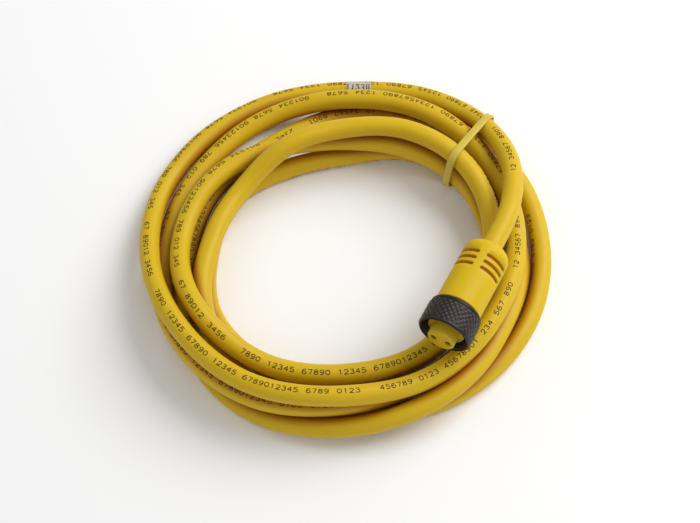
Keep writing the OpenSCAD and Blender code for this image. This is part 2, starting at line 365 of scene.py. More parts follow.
# ---- Printed figures: each is one or two strokes in a box one wide and one high
FIGURES = (
    (((0.5, 1), (0.85, 0.88), (1, 0.6), (1, 0.4), (0.85, 0.12), (0.5, 0), (0.15, 0.12),
      (0, 0.4), (0, 0.6), (0.15, 0.88), (0.5, 1)),),
    (((0.2, 0.8), (0.55, 1), (0.55, 0)),),
    (((0.02, 0.75), (0.2, 0.95), (0.5, 1), (0.85, 0.92), (0.97, 0.72), (0.85, 0.5),
      (0, 0), (1, 0)),),
    (((0.05, 0.92), (0.4, 1), (0.8, 0.95), (0.93, 0.75), (0.75, 0.55), (0.4, 0.52)),
     ((0.75, 0.55), (1, 0.27), (0.85, 0.05), (0.45, 0), (0.03, 0.1))),
    (((0.75, 0), (0.75, 1), (0, 0.3), (1, 0.3)),),
    (((0.95, 1), (0.15, 1), (0.08, 0.55), (0.5, 0.62), (0.9, 0.5), (1, 0.3), (0.85, 0.06),
      (0.45, 0), (0.02, 0.1)),),
    (((0.9, 0.93), (0.5, 1), (0.12, 0.8), (0, 0.35), (0.15, 0.06), (0.5, 0), (0.87, 0.08),
      (1, 0.3), (0.85, 0.52), (0.5, 0.6), (0.08, 0.42)),),
    (((0, 1), (1, 1), (0.4, 0)),),
    (((0.5, 0.53), (0.15, 0.65), (0.08, 0.85), (0.5, 1), (0.92, 0.85), (0.85, 0.65),
      (0.5, 0.53), (0.05, 0.37), (0.05, 0.12), (0.5, 0), (0.95, 0.12), (0.95, 0.37),
      (0.5, 0.53)),),
    (((0.1, 0.07), (0.5, 0), (0.88, 0.2), (1, 0.65), (0.85, 0.94), (0.5, 1), (0.13, 0.92),
      (0, 0.7), (0.15, 0.48), (0.5, 0.4), (0.92, 0.58)),),
)


def fine_line(points, step):
    """The same line with points no further apart than a step."""
    fine = [points[0]]
    for a, b in zip(points, points[1:]):
        count = max(1, math.ceil(math.dist(a, b) / step))
        fine += [
            (a[0] + (b[0] - a[0]) * k / count, a[1] + (b[1] - a[1]) * k / count)
            for k in range(1, count + 1)
        ]
    return fine


def ribbon(vertices, faces, points, width, place):
    """A flat stroke along 2D points, each of its edge points put in place by a function."""
    first = len(vertices)
    for i, (x, y) in enumerate(points):
        before, after = points[max(i - 1, 0)], points[min(i + 1, len(points) - 1)]
        dx, dy = after[0] - before[0], after[1] - before[1]
        size = math.hypot(dx, dy) or 1
        nx, ny = -dy / size * width / 2, dx / size * width / 2
        vertices.append(tuple(place(x - nx, y - ny)))
        vertices.append(tuple(place(x + nx, y + ny)))
    for k in range(first, len(vertices) - 2, 2):
        faces.append((k, k + 2, k + 3, k + 1))


def lay_on(piece, ground, above=0.00003):
    """Moves every point of a thin piece to just above another piece's surface."""
    modifier = piece.modifiers.new("Lay on", "SHRINKWRAP")
    modifier.target = ground
    modifier.wrap_method = "NEAREST_SURFACEPOINT"
    modifier.wrap_mode = "ABOVE_SURFACE"
    modifier.offset = above
    apply_modifiers(piece)


# ---- Nodes
def feed(tree, made, values):
    """Fills a node's inputs: another node's output is linked, any other value is set."""
    for key, value in dict(values).items():
        if isinstance(value, bpy.types.NodeSocket):
            tree.links.new(value, made.inputs[key])
        else:
            made.inputs[key].default_value = value
    return made


def node(tree, kind, values=(), **settings):
    """A new node with its settings, and its inputs filled."""
    made = tree.nodes.new(kind)
    for key, value in settings.items():
        setattr(made, key, value)
    return feed(tree, made, values)


def result(tree, kind, values=(), output=0, **settings):
    """One output of a new node."""
    return node(tree, kind, values, **settings).outputs[output]


def maths(tree, operation, *values):
    return result(tree, "ShaderNodeMath", dict(enumerate(values)), operation=operation)


def stored(tree, geometry, name, value):
    """A geometry that keeps a value at each of its points."""
    values = {"Geometry": geometry, "Name": name, "Value": value}
    return result(tree, "GeometryNodeStoreNamedAttribute", values, data_type="FLOAT")


def new_tree(name, inputs):
    """A tree with named inputs, what they give, and its line of edges as a curve."""
    tree = bpy.data.node_groups.new(name, "GeometryNodeTree")
    tree.interface.new_socket("Geometry", in_out="INPUT", socket_type="NodeSocketGeometry")
    for label, kind, value in (*inputs, ("Material", "Material", None)):
        socket = tree.interface.new_socket(
            label, in_out="INPUT", socket_type=f"NodeSocket{kind}"
        )
        if value is not None:
            socket.default_value = value
    tree.interface.new_socket("Geometry", in_out="OUTPUT", socket_type="NodeSocketGeometry")
    given = tree.nodes.new("NodeGroupInput").outputs
    curve = result(tree, "GeometryNodeMeshToCurve", {"Mesh": given["Geometry"]})
    curve = result(tree, "GeometryNodeSetCurveNormal", {"Curve": curve}, mode="Z_UP")
    return tree, given, curve


def close_tree(tree, shape, material):
    """Ends a tree with real copies that have their material."""
    real = result(tree, "GeometryNodeRealizeInstances", {"Geometry": shape})
    values = {"Geometry": real, "Material": material}
    dressed = result(tree, "GeometryNodeSetMaterial", values)
    feed(tree, tree.nodes.new("NodeGroupOutput"), {"Geometry": dressed})
    return tree


def jacket_tree():
    """A tube along a line of edges, pressed flat where it meets the floor."""
    tree, given, line = new_tree(
        "Jacket tube",
        (
            ("Radius", "Float", 0.0047),
            ("Sides", "Int", 32),
            ("Lay depth", "Float", 0.00004),
            ("Lay length", "Float", 0.07),
        ),
    )
    along = result(tree, "GeometryNodeSplineParameter", output="Length")
    around = result(tree, "GeometryNodeSplineParameter", output="Factor")
    values = {"Radius": given["Radius"], "Resolution": given["Sides"]}
    ring = result(tree, "GeometryNodeCurvePrimitiveCircle", values)
    values = {
        "Curve": stored(tree, line, "along", along),
        "Profile Curve": stored(tree, ring, "around", around),
        "Fill Caps": True,
    }
    tube = result(tree, "GeometryNodeCurveToMesh", values)

    # The two wires inside show as a faint twist of the jacket
    along, around = (
        result(tree, "GeometryNodeInputNamedAttribute", {"Name": name}, data_type="FLOAT")
        for name in ("along", "around")
    )
    turns = maths(tree, "DIVIDE", along, given["Lay length"])
    phase = maths(tree, "MULTIPLY", maths(tree, "SUBTRACT", around, turns), 4 * math.pi)
    depth = maths(tree, "MULTIPLY", maths(tree, "COSINE", phase), given["Lay depth"])
    normal = result(tree, "GeometryNodeInputNormal")
    push = result(tree, "ShaderNodeVectorMath", {0: normal, "Scale": depth}, operation="SCALE")
    bulge = result(tree, "GeometryNodeSetPosition", {"Geometry": tube, "Offset": push})

    position = result(tree, "GeometryNodeInputPosition")
    x, y, z = node(tree, "ShaderNodeSeparateXYZ", {0: position}).outputs
    values = {"X": x, "Y": y, "Z": maths(tree, "MAXIMUM", z, 0.0)}
    above = result(tree, "ShaderNodeCombineXYZ", values)
    pressed = result(tree, "GeometryNodeSetPosition", {"Geometry": bulge, "Position": above})
    return close_tree(tree, pressed, given["Material"])


def strand_tree():
    """Twisted strands along a line of edges: a ring of thin wires round a middle one."""
    tree, given, line = new_tree(
        "Copper strands",
        (
            ("Bundle radius", "Float", 0.00075),
            ("Strand radius", "Float", 0.00024),
            ("Strands", "Int", 7),
            ("Twist", "Float", 3.0),
        ),
    )
    along = result(tree, "GeometryNodeSplineParameter", output="Factor")
    tilt = maths(tree, "MULTIPLY", along, given["Twist"])
    line = result(tree, "GeometryNodeSetCurveTilt", {"Curve": line, "Tilt": tilt})
    inner = maths(tree, "SUBTRACT", given["Bundle radius"], given["Strand radius"])
    values = {"Radius": inner, "Resolution": given["Strands"]}
    places = result(tree, "GeometryNodeCurvePrimitiveCircle", values)
    values = {"Radius": given["Strand radius"], "Resolution": 8}
    ring = result(tree, "GeometryNodeCurvePrimitiveCircle", values)
    copies = result(
        tree, "GeometryNodeInstanceOnPoints", {"Points": places, "Instance": ring}
    )
    rings = node(tree, "GeometryNodeJoinGeometry", {0: copies})
    feed(tree, rings, {0: ring})
    flat = result(tree, "GeometryNodeRealizeInstances", {"Geometry": rings.outputs[0]})
    values = {"Curve": line, "Profile Curve": flat, "Fill Caps": True}
    tube = result(tree, "GeometryNodeCurveToMesh", values)
    return close_tree(tree, tube, given["Material"])


def along_line(name, path, tree, values):
    """A piece that a node tree makes along a path, turned into a plain mesh."""
    mesh = bpy.data.meshes.new(name)
    mesh.from_pydata([tuple(p) for p in path], [(i, i + 1) for i in range(len(path) - 1)], [])
    piece = bpy.data.objects.new(name, mesh)
    bpy.context.scene.collection.objects.link(piece)
    modifier = piece.modifiers.new(tree.name, "NODES")
    modifier.node_group = tree
    for item in tree.interface.items_tree:
        if item.item_type == "SOCKET" and item.in_out == "INPUT" and item.name in values:
            modifier[item.identifier] = values[item.name]
    apply_modifiers(piece)
    for face in piece.data.polygons:
        face.use_smooth = True
    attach(piece, CORD_BODY)
    return piece


# ---- Materials
def blend(tree, factor, first, second, kind="MIX"):
    """A colour between two others, or one laid over another."""
    values = {0: factor}
    for key, shade in ((6, first), (7, second)):
        values[key] = shade if isinstance(shade, bpy.types.NodeSocket) else (*shade, 1)
    return result(tree, "ShaderNodeMix", values, 2, data_type="RGBA", blend_type=kind)


def ranged(tree, value, ends, outcome, kind="LINEAR"):
    """A value carried over from one range to another."""
    values = dict(zip(("From Min", "From Max", "To Min", "To Max"), (*ends, *outcome)))
    values["Value"] = value
    return result(tree, "ShaderNodeMapRange", values, interpolation_type=kind)


def kept(tree, name):
    """A value that the piece keeps at each of its points."""
    return result(tree, "ShaderNodeAttribute", output="Fac", attribute_name=name)


def bumped(tree, height, strength, distance):
    values = {"Height": height, "Strength": strength, "Distance": distance}
    return result(tree, "ShaderNodeBump", values)


def grain_group():
    """Colour drift over the piece, a fine grain height and a roughness mask."""
    if "Moulded grain" in bpy.data.node_groups:
        return bpy.data.node_groups["Moulded grain"]
    group = bpy.data.node_groups.new("Moulded grain", "ShaderNodeTree")
    for label, value in (("Drift size", 30.0), ("Grain size", 2500.0)):
        socket = group.interface.new_socket(label, in_out="INPUT", socket_type="NodeSocketFloat")
        socket.default_value = value
    for label in ("Drift", "Grain", "Smear"):
        group.interface.new_socket(label, in_out="OUTPUT", socket_type="NodeSocketFloat")
    given = group.nodes.new("NodeGroupInput").outputs
    end = group.nodes.new("NodeGroupOutput")
    place = result(group, "ShaderNodeTexCoord", output="Object")
    for label, scale, detail, rough in (
        ("Drift", given["Drift size"], 3.0, 0.55),
        ("Grain", given["Grain size"], 2.0, 0.6),
        ("Smear", 160.0, 4.0, 0.5),
    ):
        feed(group, end, {label: noise(group, place, scale, detail, rough)})
    return group


def noise(tree, place, scale, detail, rough):
    values = {"Vector": place, "Scale": scale, "Detail": detail, "Roughness": rough}
    return result(tree, "ShaderNodeTexNoise", values)


def new_material(name):
    material = bpy.data.materials.new(name)
    material.use_nodes = True
    return material, material.node_tree, material.node_tree.nodes["Principled BSDF"]


def grained(tree, values=()):
    """What the shared grain puts out in one material."""
    return node(tree, "ShaderNodeGroup", values, node_tree=grain_group()).outputs


def moulded(name, colour, deep, roughness, grain=0.06, drift=0.5, grain_size=2500.0, **constants):
    """Moulded plastic: two shades that drift, a grain and slightly uneven gloss."""
    material, tree, shader = new_material(name)
    effect = grained(tree, {"Grain size": grain_size})
    amount = maths(tree, "MULTIPLY", effect["Drift"], drift)
    gloss = (roughness * 0.85, roughness * 1.2)
    values = {label.replace("_", " "): value for label, value in constants.items()}
    values["Base Color"] = blend(tree, amount, colour, deep)
    values["Roughness"] = ranged(tree, effect["Smear"], (0.3, 0.7), gloss)
    values["Normal"] = bumped(tree, effect["Grain"], grain, 0.0004)
    feed(tree, shader, values)
    return material


def opened(material):
    """A finished material's tree and shader, and what feeds its colour."""
    tree = material.node_tree
    shader = tree.nodes["Principled BSDF"]
    return tree, shader, shader.inputs["Base Color"].links[0].from_socket


def jacket_finish(name, colour, deep, painted_crease_shade, roughness, **constants):
    """Extruded jacket: long streaks, faint scuffs and a soft gloss that follow the cord, and
    painted shade where two turns come close.
    """
    material = moulded(name, colour, deep, roughness, grain=0.05, grain_size=1800.0, **constants)
    tree, shader, shades = opened(material)
    values = {"X": kept(tree, "along"), "Y": kept(tree, "around")}
    place = result(tree, "ShaderNodeCombineXYZ", values)

    def spread(*stretch):
        values = {0: place, 1: stretch}
        return result(tree, "ShaderNodeVectorMath", values, operation="MULTIPLY")

    streaks = noise(tree, spread(14.0, 9.0, 1.0), 1.0, 5.0, 0.6)
    shades = blend(tree, ranged(tree, streaks, (0.4, 0.75), (0, 0.45)), shades, deep)
    # Dust and rubbed marks, where a coarse noise passes a threshold
    marks = noise(tree, spread(60.0, 5.0, 1.0), 1.0, 6.0, 0.7)
    dust = (0.16, 0.11, 0.05)
    shades = blend(tree, ranged(tree, marks, (0.62, 0.8), (0, 0.22)), shades, dust)
    # Painted shade: the colour darkens where two turns come close, standing in for the shadow
    # between them
    painted_crease_amount = ranged(tree, kept(tree, "painted_crease_shade"), (0, 1), (0, 0.9), "SMOOTHSTEP")
    shades = blend(tree, painted_crease_amount, shades, painted_crease_shade, "MULTIPLY")
    feed(tree, shader, {"Base Color": shades})
    return material


def slotted_finish(name, colour, deep, slot_painted_shade_colour, roughness, **constants):
    """The grip's plastic, with painted shade darker down in its slots."""
    material = moulded(name, colour, deep, roughness, grain=0.1, grain_size=1600.0, **constants)
    tree, shader, shades = opened(material)
    # Painted shade: darker colour down in the slots, where shadow falls
    feed(tree, shader, {"Base Color": blend(tree, kept(tree, "cut"), shades, slot_painted_shade_colour)})
    return material


def coated_metal(name, colour, worn, roughness):
    """Dark coated metal whose knurl tips are rubbed lighter."""
    material, tree, shader = new_material(name)
    effect = grained(tree)
    rubbed = maths(tree, "MULTIPLY", kept(tree, "tip"), effect["Smear"])
    gloss = ranged(tree, effect["Smear"], (0, 1), (roughness * 0.8, roughness * 1.2))
    values = {
        "Base Color": blend(tree, rubbed, colour, worn),
        "Roughness": gloss,
        "Normal": bumped(tree, effect["Grain"], 0.15, 0.0003),
        "Metallic": 0.35,
    }
    feed(tree, shader, values)
    return material


def bare_metal(name, colour, roughness):
    """Plain metal with a slightly uneven shade and gloss."""
    material, tree, shader = new_material(name)
    effect = grained(tree)
    gloss = ranged(tree, effect["Smear"], (0, 1), (roughness * 0.7, roughness * 1.4))
    values = {
        "Base Color": blend(tree, effect["Smear"], colour, [c * 0.7 for c in colour]),
        "Roughness": gloss,
        "Metallic": 1,
    }
    feed(tree, shader, values)
    return material


class Materials:
    """Each finish is made once, when a piece first asks for it."""

    made = {}

    @classmethod
    def get(cls, name):
        if name not in cls.made:
            cls.made[name] = cls.make(name)
        return cls.made[name]

    @staticmethod
    def make(name):
        look = bpy.context.scene.cord_look
        if name == "jacket":
            return jacket_finish(
                "Jacket", look.jacket, look.jacket_deep, look.jacket_painted_crease_shade, 0.45,
                Specular_IOR_Level=0.25,
            )
        if name == "grip":
            return slotted_finish(
                "Grip", look.grip, look.grip_deep, look.slots, 0.5, Specular_IOR_Level=0.25
            )
        if name == "insert":
            return moulded(
                "Insert", look.insert, look.insert_deep, 0.5, grain=0.08, Specular_IOR_Level=0.3
            )
        if name == "inner_mould":
            return moulded("Inner mould", (0.7, 0.68, 0.58), (0.6, 0.58, 0.5), 0.5)
        if name == "nut":
            return coated_metal("Nut coat", look.nut, look.nut_worn, 0.42)
        if name == "contact":
            return bare_metal("Contact brass", (0.75, 0.55, 0.22), 0.25)
        if name == "copper":
            return bare_metal("Copper strands", (0.72, 0.36, 0.2), 0.3)
        if name == "wire_black":
            return moulded("Black wire", (0.012, 0.012, 0.013), (0.03, 0.03, 0.03), 0.4)
        if name == "wire_white":
            return moulded("White wire", (0.78, 0.78, 0.75), (0.7, 0.69, 0.65), 0.4)
        if name == "filler":
            return moulded("Filler", (0.45, 0.34, 0.2), (0.35, 0.26, 0.15), 0.9, grain=0.6)
        if name == "tie":
            return moulded(
                "Tie nylon", look.tie, look.tie_deep, 0.4, Transmission_Weight=0.15, IOR=1.53
            )
        if name == "marker":
            return moulded("Marker film", look.marker, (0.42, 0.37, 0.3), 0.5)
        if name == "ink":
            return moulded(
                "Ink", look.ink, (0.12, 0.06, 0.008), 0.65, drift=0.8, Specular_IOR_Level=0.2
            )
        raise ValueError(f"no finish is named {name}")


# ---- Sizes and colours
def length(name, description, default):
    return bpy.props.FloatProperty(
        name=name, description=description, default=default, unit="LENGTH", precision=5
    )


def colour(name, description, default):
    return bpy.props.FloatVectorProperty(
        name=name, description=description, default=default, size=3, subtype="COLOR",
        min=0, max=1,
    )


class CordSizes(bpy.types.PropertyGroup):
    cord_d: length("Cord", "Outer diameter of the cord", CORD_D * MM)
    lay_depth: length("Lay depth", "How far the twist of the wires shows", 0.00004)
    nut_d: length("Nut", "Diameter over the knurl", 0.0254)
    nut_length: length("Nut length", "Length of the nut", 0.0137)
    knurl_pitch: length("Knurl pitch", "Distance between the knurl's grooves", 0.00133)
    knurl_depth: length("Knurl depth", "Depth of the knurl's grooves", 0.00042)
    thread_pitch: length("Thread pitch", "Distance between two threads", 0.0254 / 16)
    grip_d: length("Grip", "Diameter of the grip", 0.0216)
    tie_width: length("Tie width", "Width of the tie's strap", 0.0036)
    tie_thickness: length("Tie thickness", "Thickness of the tie's strap", 0.001)
    print_height: length("Print height", "Height of the printed numbers", 0.0022)
    print_pitch: length("Print pitch", "Distance from one figure to the next", 0.0026)
    ink_width: length("Ink width", "Width of a printed stroke", 0.00042)


class CordLook(bpy.types.PropertyGroup):
    jacket: colour("Jacket", "Main yellow of the jacket", (0.69, 0.48, 0.012))
    jacket_deep: colour("Jacket, deep", "Deeper yellow of the jacket", (0.59, 0.345, 0.003))
    # Painted shade: the tint laid over the jacket where two turns come close
    jacket_painted_crease_shade: colour("Jacket, crease", "Tint where two turns come close", (0.5, 0.16, 0.015))
    grip: colour("Grip", "Main yellow of the grip", (0.68, 0.465, 0.002))
    grip_deep: colour("Grip, deep", "Deeper yellow of the grip", (0.61, 0.385, 0.001))
    # Painted shade laid over the grip down in its slots
    slots: colour("Slots", "Shade down in the grip's slots", (0.46, 0.18, 0.003))
    insert: colour("Insert", "Main shade of the contact insert", (0.6, 0.42, 0.012))
    insert_deep: colour("Insert, deep", "Deeper shade of the insert", (0.52, 0.35, 0.008))
    nut: colour("Nut", "Coat of the nut", (0.014, 0.009, 0.008))
    nut_worn: colour("Nut, worn", "Where the knurl is rubbed", (0.095, 0.068, 0.062))
    tie: colour("Tie", "Main shade of the tie", (0.68, 0.53, 0.05))
    tie_deep: colour("Tie, deep", "Deeper shade of the tie", (0.6, 0.45, 0.03))
    marker: colour("Marker", "Film of the marker", (0.56, 0.51, 0.43))
    ink: colour("Ink", "The printed numbers", (0.065, 0.027, 0.003))


# ---- Operators
class PieceOperator:
    """What every operator shares: it builds its piece from the sizes."""

    bl_options = {"REGISTER", "UNDO"}

    def execute(self, context):
        self.build(context.scene.cord_sizes)
        return {"FINISHED"}


class CORD_OT_stage(PieceOperator, bpy.types.Operator):
    """Makes the floor, the lights and the camera"""

    bl_idname = "cord.stage"
    bl_label = "Stage"

    target = Vector((-0.5, -6.25, 10)) * MM
    elevation = 60
    distance = 0.95
    pixels_per_mm = 2.15
    image_size = (700, 523)
    target_pixel = (345, 258)
    sensor_width = 36
    floor_reach, floor_drop = 3, 0.0002
    paper = (0.97, 0.97, 0.97, 1)
    lamps = (
        ("Key", (0.85, 0.5, 1.0), 1.1, 17),
        ("Fill", (-0.9, 0.3, 1.0), 1.2, 1.5),
        ("Front", (0.3, -1.2, 0.9), 1.0, 2),
    )
    sky_strength = 0.42

    def build(self, sizes):
        self.make_camera()
        self.make_floor()
        self.make_lights()

    def make_camera(self):
        width, height = self.image_size
        data = bpy.data.cameras.new("Camera")
        data.sensor_width = self.sensor_width
        data.lens = self.sensor_width * self.pixels_per_mm * self.distance / MM / width
        data.shift_x = (width / 2 - self.target_pixel[0]) / width
        data.shift_y = -(height / 2 - self.target_pixel[1]) / width
        data.clip_start, data.clip_end = 0.05, 10
        camera = bpy.data.objects.new("Camera", data)
        bpy.context.scene.collection.objects.link(camera)
        tilt = math.radians(90 - self.elevation)
        back = Vector((0, -math.sin(tilt), math.cos(tilt)))
        camera.location = self.target + back * self.distance
        camera.rotation_euler = (tilt, 0, 0)
        bpy.context.scene.camera = camera

    def make_floor(self):
        mesh = bpy.data.meshes.new("Floor")
        reach = self.floor_reach
        corners = [(-reach, -reach, 0), (reach, -reach, 0), (reach, reach, 0), (-reach, reach, 0)]
        mesh.from_pydata(corners, [], [(0, 1, 2, 3)])
        floor = bpy.data.objects.new("Floor", mesh)
        floor.location.z = -self.floor_drop
        bpy.context.scene.collection.objects.link(floor)
        material, tree, shader = new_material("Floor paper")
        feed(tree, shader, {"Base Color": self.paper, "Roughness": 0.9})
        mesh.materials.append(material)

    def make_lights(self):
        for name, place, size, power in self.lamps:
            data = bpy.data.lights.new(name, "AREA")
            data.size = size
            data.energy = power
            lamp = bpy.data.objects.new(name, data)
            lamp.location = place
            lamp.rotation_euler = (-Vector(place)).to_track_quat("-Z", "Y").to_euler()
            bpy.context.scene.collection.objects.link(lamp)
        world = bpy.data.worlds.new("Studio")
        world.use_nodes = True
        background = world.node_tree.nodes["Background"]
        background.inputs["Color"].default_value = (1, 1, 1, 1)
        background.inputs["Strength"].default_value = self.sky_strength
        bpy.context.scene.world = world
        bpy.context.scene.view_settings.view_transform = "Standard"


class CORD_OT_cord(PieceOperator, bpy.types.Operator):
    """Makes the jacketed cord along its coil"""

    bl_idname = "cord.cord"
    bl_label = "Cord"

    painted_crease_reach = 0.0055

    def build(self, sizes):
        values = {
            "Radius": sizes.cord_d / 2,
            "Sides": 36,
            "Lay depth": sizes.lay_depth,
            "Material": Materials.get("jacket"),
        }
        cord = along_line("cord", cord_route(), jacket_tree(), values)
        # Keeps on the jacket where turns come close, for the painted crease shade
        self.paint_crease_shade(cord.data, sizes.cord_d / 2)
        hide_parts("cord_coil")

    def paint_crease_shade(self, mesh, radius):
        """Keeps how near each place comes to another turn, for the painted shade there."""
        line = cord_route(step=1)
        runs = run_lengths(line)
        near_line = kdtree.KDTree(len(line))
        for k, point in enumerate(line):
            near_line.insert(point, k)
        near_line.balance()
        reach = radius + self.painted_crease_reach
        crease_shade_mask = mesh.attributes.new("painted_crease_shade", "FLOAT", "POINT")
        along = mesh.attributes["along"].data
        for i, vertex in enumerate(mesh.vertices):
            own = along[i].value
            nearest = min(
                (
                    off for _, k, off in near_line.find_range(vertex.co, reach)
                    if abs(runs[k] - own) > 4 * radius
                ),
                default=reach,
            )
            crease_shade_mask.data[i].value = max(0, min(1, (reach - nearest) / self.painted_crease_reach))


class CORD_OT_print(PieceOperator, bpy.types.Operator):
    """Prints plain counting figures along the jacket, in groups"""

    bl_idname = "cord.print"
    bl_label = "Jacket print"

    groups = (2, 5, 4, 0, 4, 5, 5, 5, 10, 4, 4, 0, 6, 4, 8, 3, 3, 3, 0)
    start, end = 0.045, 2.83
    group_gap, empty_group_gap = 1.15, 2
    figure_width = 0.82
    stroke_step = 0.0004
    clear = 0.0001
    lie_step = 45
    # For each turn, at every 45 degrees: how far round the jacket the print lies from its
    # top, in degrees, counted towards the coil's inside
    lies_at = (
        (2, -8, -23, -33, -16, -8, 3, -15),
        (-5, -20, -12, -15, -38, -25, -21, -40),
        (-60, -80, -75, -33, -20, -18, -14, -20),
        (-60, -70, -80, -85, -95, -130, -180, -240),
        (-300, -320, -354, -340, -330, -300, -240, -240),
        (-240, -240, -240, -240, -240, -240, -240, -240),
    )

    def build(self, sizes):
        path = cord_route()
        self.runs = run_lengths(path)
        self.frames = frames_along(path)
        self.reach = sizes.cord_d / 2 + self.clear
        vertices, faces = [], []
        at, figure = self.start, 1
        while at < self.end:
            for size in self.groups:
                for _ in range(size):
                    for stroke in FIGURES[figure % 10]:
                        self.add_stroke(vertices, faces, stroke, at, sizes)
                    at += sizes.print_pitch
                    figure += 1
                gap = self.group_gap if size else self.empty_group_gap
                at += sizes.print_pitch * gap
        mesh = bpy.data.meshes.new("jacket_print")
        mesh.from_pydata(vertices, [], faces)
        figures = finished("jacket_print", mesh, "ink")
        lay_on(figures, bpy.data.objects["cord"])

    def on_jacket(self, along, up):
        """A place on the jacket: how far along it, and how far up the print's height."""
        i = min(bisect.bisect_right(self.runs, along), len(self.runs) - 1) - 1
        t = (along - self.runs[i]) / (self.runs[i + 1] - self.runs[i])
        a, b = self.frames[i], self.frames[i + 1]
        turned_to = COIL_START + ROUTE_STEP * (i + t - STRAIGHT_POINTS - BEND_POINTS)
        place = max(0, turned_to) / self.lie_step
        around = [turned_by for turn in self.lies_at for turned_by in turn]
        first = math.floor(place)
        near = [around[max(0, min(len(around) - 1, first + k))] for k in (-1, 0, 1, 2)]
        angle = math.radians(through(*near, place - first)) + up / self.reach
        side, over = a[1].lerp(b[1], t), a[2].lerp(b[2], t)
        return a[0].lerp(b[0], t) + self.reach * (over * math.cos(angle) - side * math.sin(angle))

    def add_stroke(self, vertices, faces, stroke, at, sizes):
        high, wide = sizes.print_height, sizes.print_height * self.figure_width
        stroke = [(x * wide, (y - 0.5) * high) for x, y in stroke]
        points = fine_line(stroke, self.stroke_step)
        ribbon(
            vertices, faces, points, sizes.ink_width,
            lambda x, y: self.on_jacket(at + x, y),
        )


class CORD_OT_grip(PieceOperator, bpy.types.Operator):
    """Makes the moulded grip with its finger slots"""

    bl_idname = "cord.grip"
    bl_label = "Grip"

    front = GRIP_FRONT
    shoulder = 5.5
    slot_width = 1.65
    slot_depth = 1.25
    slot_pitch = 3.5
    slot_half_angle = math.radians(31)
    slots_in_row = 3
    slot_lip, slot_lip_width = 1.12, 0.34
    slot_painted_shade_gain = 1.3
    last_slot = GRIP_BACK - 9.1
    cord_hole = CORD_D / 2 + 0.02
    front_hole = 8.5
    front_round = 0.5
    row_step, slot_row_step = 1.5, 0.13

    def slot_cut(self, angle, z):
        """How deep the slots are at one place, with round ends and soft lips."""
        deepest = 0
        for i in range(self.slots_in_row):
            across = abs(z - (self.last_slot - i * self.slot_pitch))
            if across > self.slot_width:
                continue
            quarter = (angle % (math.pi / 2)) - math.pi / 4
            beyond = max(0, abs(quarter) - self.slot_half_angle) * self.radius
            off = math.hypot(across, beyond) / (self.slot_width / 2)
            edge = max(0, min(1, (self.slot_lip - off) / self.slot_lip_width))
            deepest = max(deepest, self.slot_depth * edge * edge * (3 - 2 * edge))
        return deepest

    def build(self, sizes):
        radius = self.radius = sizes.grip_d / 2 / MM
        back_r = radius - self.shoulder
        corner = (radius - self.front_round, self.front + self.front_round)
        outline = [(self.front_hole, self.front), *fillet(corner, self.front_round, -90, 0, 6)]
        # Rows lie close together where the slots are
        first = self.last_slot - (self.slots_in_row - 1) * self.slot_pitch - 1
        last = self.last_slot + 1
        plain, fine = self.row_step, self.slot_row_step
        start = self.front + 1
        steps = [start + k * plain for k in range(int((first - start) / plain))]
        steps += [first + k * fine for k in range(int((last - first) / fine) + 1)]
        outline += [
            (lambda angle, z=z: radius - self.slot_cut(angle, z), z) for z in steps
        ]
        outline += [
            (back_r + self.shoulder * math.cos(a), GRIP_BACK - self.shoulder * (1 - math.sin(a)))
            for a in (math.radians(k) for k in range(0, 91, 6))
        ]
        outline += [(self.cord_hole + 0.3, GRIP_BACK), (self.cord_hole, GRIP_BACK - 0.3)]
        outline += [(self.cord_hole, GRIP_BACK - 12), (self.front_hole, GRIP_BACK - 20)]
        mesh = turned("grip_cover", outline, 256, True)
        grip = finished("grip_cover", mesh, "grip")
        # Each point keeps how deep it lies in a slot, in the cut attribute, for the painted shade
        # there
        keep_on_points(mesh, "cut", lambda r, z: self.painted_slot_shade_amount(radius - r, z))
        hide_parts("grip")

    def painted_slot_shade_amount(self, down, z):
        """How far down in a slot a point lies, for the painted shade there."""
        first = self.last_slot - self.slots_in_row * self.slot_pitch
        last = self.last_slot + self.slot_pitch
        return down / self.slot_depth * self.slot_painted_shade_gain if first < z < last else 0


